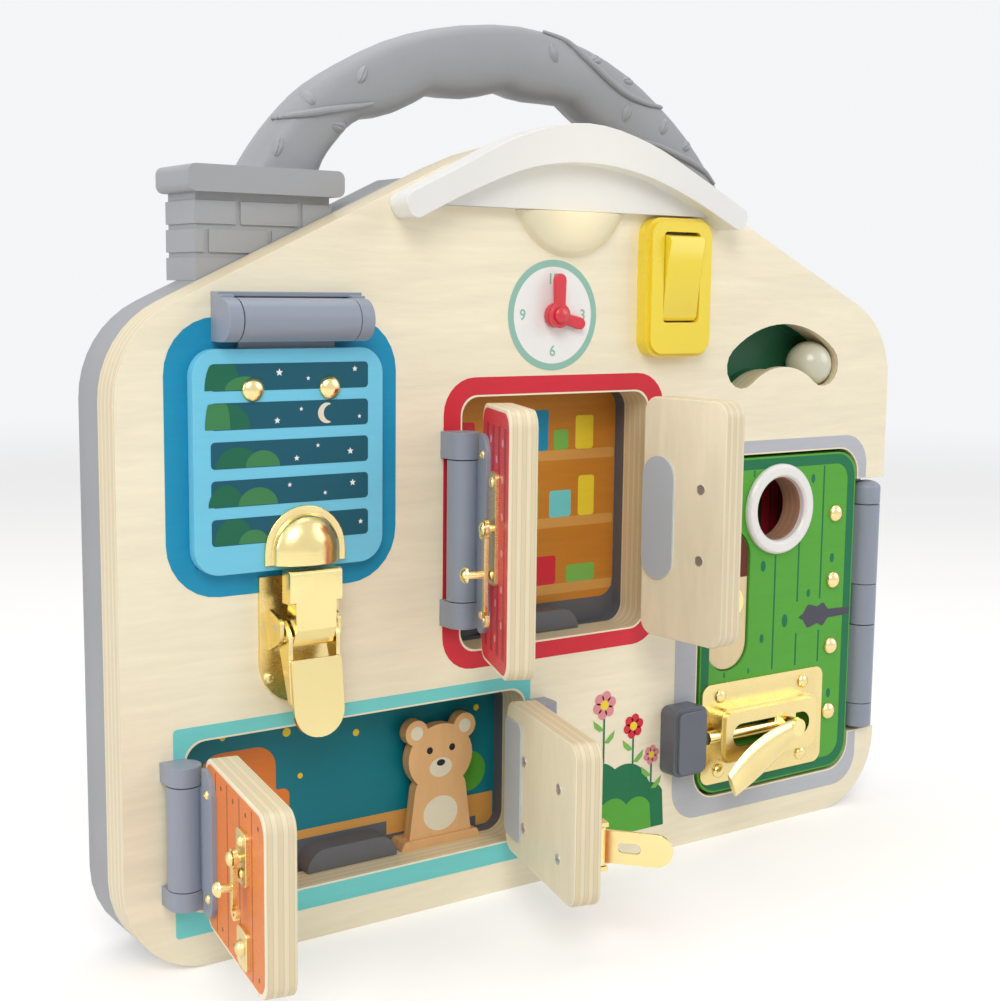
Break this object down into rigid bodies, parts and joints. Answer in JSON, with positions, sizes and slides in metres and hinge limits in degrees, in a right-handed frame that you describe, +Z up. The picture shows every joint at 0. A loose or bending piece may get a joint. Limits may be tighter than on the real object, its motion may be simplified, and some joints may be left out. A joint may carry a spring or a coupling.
{
  "type": "wooden busy board",
  "caption": "House-shaped wooden busy board with swinging leaves, a bolted door, a latched shutter, a clock, a lamp switch, a captive ball and a carrying handle.",
  "frame": {"origin": "centre of the base, midway between the plywood's front face and the housing's back face", "axes": "+X to the board's right as seen from the front, +Y from the front to the back, +Z up"},
  "size_m": [0.407, 0.1402, 0.367],
  "materials": {
    "plywood": "clear satin lacquer over pale plywood",
    "figure_wood": "printed plywood",
    "shutter_paint": "light blue paint, satin",
    "door_paint": "green paint, satin",
    "lock_plate_wood": "printed thin board",
    "housing_grey": "moulded, fine texture",
    "hinge_grey": "moulded, smooth",
    "tray_grey": "moulded, smooth",
    "roof_white": "translucent white",
    "lamp_diffuser": "milky diffuser",
    "porthole_white": "moulded, glossy",
    "switch_yellow": "moulded, glossy",
    "hand_red": "moulded, glossy",
    "ball_cream": "smooth",
    "track_green": "moulded",
    "dark_plastic": "moulded",
    "brass": "polished pressed sheet",
    "steel": "bright zinc plated",
    "cell_jacket": "plain sleeve",
    "circuit_board": "lacquered board",
    "key_copper": "plated",
    "lanyard_green": "round woven cord"
  },
  "bodies": {
    "board": {"front_board": "plywood", "rear_housing": "housing_grey", "battery_door": "housing_grey", "battery_cells": "cell_jacket", "battery_contacts": "steel", "housing_screws": "steel", "handle_front": "housing_grey", "handle_back": "housing_grey", "chimney": "housing_grey", "roof_cover": "roof_white", "lamp_dome": "lamp_diffuser", "lamp_board": "circuit_board", "switch_plate": "switch_yellow", "switch_body": "dark_plastic", "pivot_pins": "steel", "clock_spindle": "hand_red", "ball_track": "track_green", "recess_trays": "tray_grey", "figure": "figure_wood", "shutter_hinge_bracket": "hinge_grey", "latch_base": "brass", "upper_hinge_brackets": "hinge_grey", "lower_hinge_brackets": "hinge_grey", "door_hinge_bracket": "hinge_grey", "bolt_strike": "dark_plastic", "lanyard_clip": "dark_plastic", "key": "key_copper", "lanyard": "lanyard_green"},
    "shutter": {"shutter": "shutter_paint", "shutter_hinge_leaf": "hinge_grey", "shutter_fittings": "brass"},
    "latch_lever": {"latch_lever": "brass"},
    "latch_hasp": {"latch_hasp": "brass"},
    "upper_left_leaf": {"upper_left_leaf": "plywood", "upper_left_hinge": "hinge_grey", "window_hook_plate": "brass"},
    "window_hook": {"window_hook": "brass"},
    "upper_right_leaf": {"upper_right_leaf": "plywood", "upper_right_hinge": "hinge_grey", "window_hook_keeper": "brass"},
    "lower_left_leaf": {"lower_left_leaf": "plywood", "lower_left_hinge": "hinge_grey", "lower_hook_plate": "brass"},
    "lower_hook": {"lower_hook": "brass"},
    "lower_right_leaf": {"lower_right_leaf": "plywood", "lower_right_hinge": "hinge_grey", "lower_hasp_plate": "brass"},
    "lower_hasp": {"lower_hasp": "brass"},
    "door": {"door": "door_paint", "door_hinge_leaf": "hinge_grey", "door_rivets": "brass", "porthole_ring": "porthole_white", "lock_plate": "lock_plate_wood", "slide_frame": "brass"},
    "slide_bolt": {"slide_bolt": "brass"},
    "lock_cylinder": {"lock_cylinder": "brass"},
    "minute_hand": {"minute_hand": "hand_red"},
    "hour_hand": {"hour_hand": "hand_red"},
    "rocker": {"rocker": "switch_yellow"},
    "ball": {"ball": "ball_cream"}
  },
  "joints": [
    {"name": "shutter_swing", "type": "hinge", "parent": "board", "child": "shutter", "pos_m": [-0.133, -0.0305, 0.2445], "axis": [-1, 0, 0], "range_deg": [0, 120]},
    {"name": "latch_lever_swing", "type": "hinge", "parent": "board", "child": "latch_lever", "pos_m": [-0.128, -0.028, 0.129], "axis": [-1, 0, 0], "range_deg": [0, 60]},
    {"name": "latch_hasp_swing", "type": "hinge", "parent": "latch_lever", "child": "latch_hasp", "pos_m": [-0.128, -0.032, 0.125], "axis": [-1, 0, 0], "range_deg": [-96, 0]},
    {"name": "upper_left_swing", "type": "hinge", "parent": "board", "child": "upper_left_leaf", "pos_m": [-0.057, -0.029, 0.16], "axis": [0, 0, -1], "range_deg": [-112, 38]},
    {"name": "window_hook_swing", "type": "hinge", "parent": "upper_left_leaf", "child": "window_hook", "pos_m": [-0.06573, -0.05783, 0.165], "axis": [-0.9272, 0.3746, 0], "range_deg": [0, 180]},
    {"name": "upper_right_swing", "type": "hinge", "parent": "board", "child": "upper_right_leaf", "pos_m": [0.049, -0.029, 0.16], "axis": [0, 0, 1], "range_deg": [-95, 55]},
    {"name": "lower_left_swing", "type": "hinge", "parent": "board", "child": "lower_left_leaf", "pos_m": [-0.179, -0.029, 0.055], "axis": [0, 0, -1], "range_deg": [-100, 50]},
    {"name": "lower_hook_swing", "type": "hinge", "parent": "lower_left_leaf", "child": "lower_hook", "pos_m": [-0.18624, -0.0856, 0.066], "axis": [-0.9848, 0.1736, 0], "range_deg": [0, 180]},
    {"name": "lower_right_swing", "type": "hinge", "parent": "board", "child": "lower_right_leaf", "pos_m": [-0.016, -0.029, 0.055], "axis": [0, 0, 1], "range_deg": [-75, 75]},
    {"name": "lower_hasp_swing", "type": "hinge", "parent": "lower_right_leaf", "child": "lower_hasp", "pos_m": [-0.03673, -0.09592, 0.044], "axis": [0, 0, 1], "range_deg": [-50, 70]},
    {"name": "door_swing", "type": "hinge", "parent": "board", "child": "door", "pos_m": [0.19, -0.02, 0.1], "axis": [0, 0, 1], "range_deg": [0, 110]},
    {"name": "bolt_slide", "type": "slide", "parent": "door", "child": "slide_bolt", "axis": [-1, 0, 0], "range_m": [0, 0.018]},
    {"name": "lock_turn", "type": "hinge", "parent": "door", "child": "lock_cylinder", "pos_m": [0.097, -0.0223, 0.113], "axis": [0, -1, 0], "range_deg": [0, 90]},
    {"name": "minute_hand_turn", "type": "hinge", "parent": "board", "child": "minute_hand", "pos_m": [-0.008, -0.0266, 0.246], "axis": [0, -1, 0], "continuous": true},
    {"name": "hour_hand_turn", "type": "hinge", "parent": "board", "child": "hour_hand", "pos_m": [-0.008, -0.0239, 0.246], "axis": [0, -1, 0], "continuous": true},
    {"name": "rocker_tilt", "type": "hinge", "parent": "board", "child": "rocker", "pos_m": [0.056, -0.026, 0.2625], "axis": [1, 0, 0], "range_deg": [-16, 0]},
    {"name": "ball_run", "type": "hinge", "parent": "board", "child": "ball", "pos_m": [0.128, -0.012, 0.191], "axis": [0, -1, 0], "range_deg": [0, 80]}
  ],
  "couplings": [
    {"joint": "latch_hasp_swing", "follows": "latch_lever_swing", "ratio": -1.6}
  ]
}
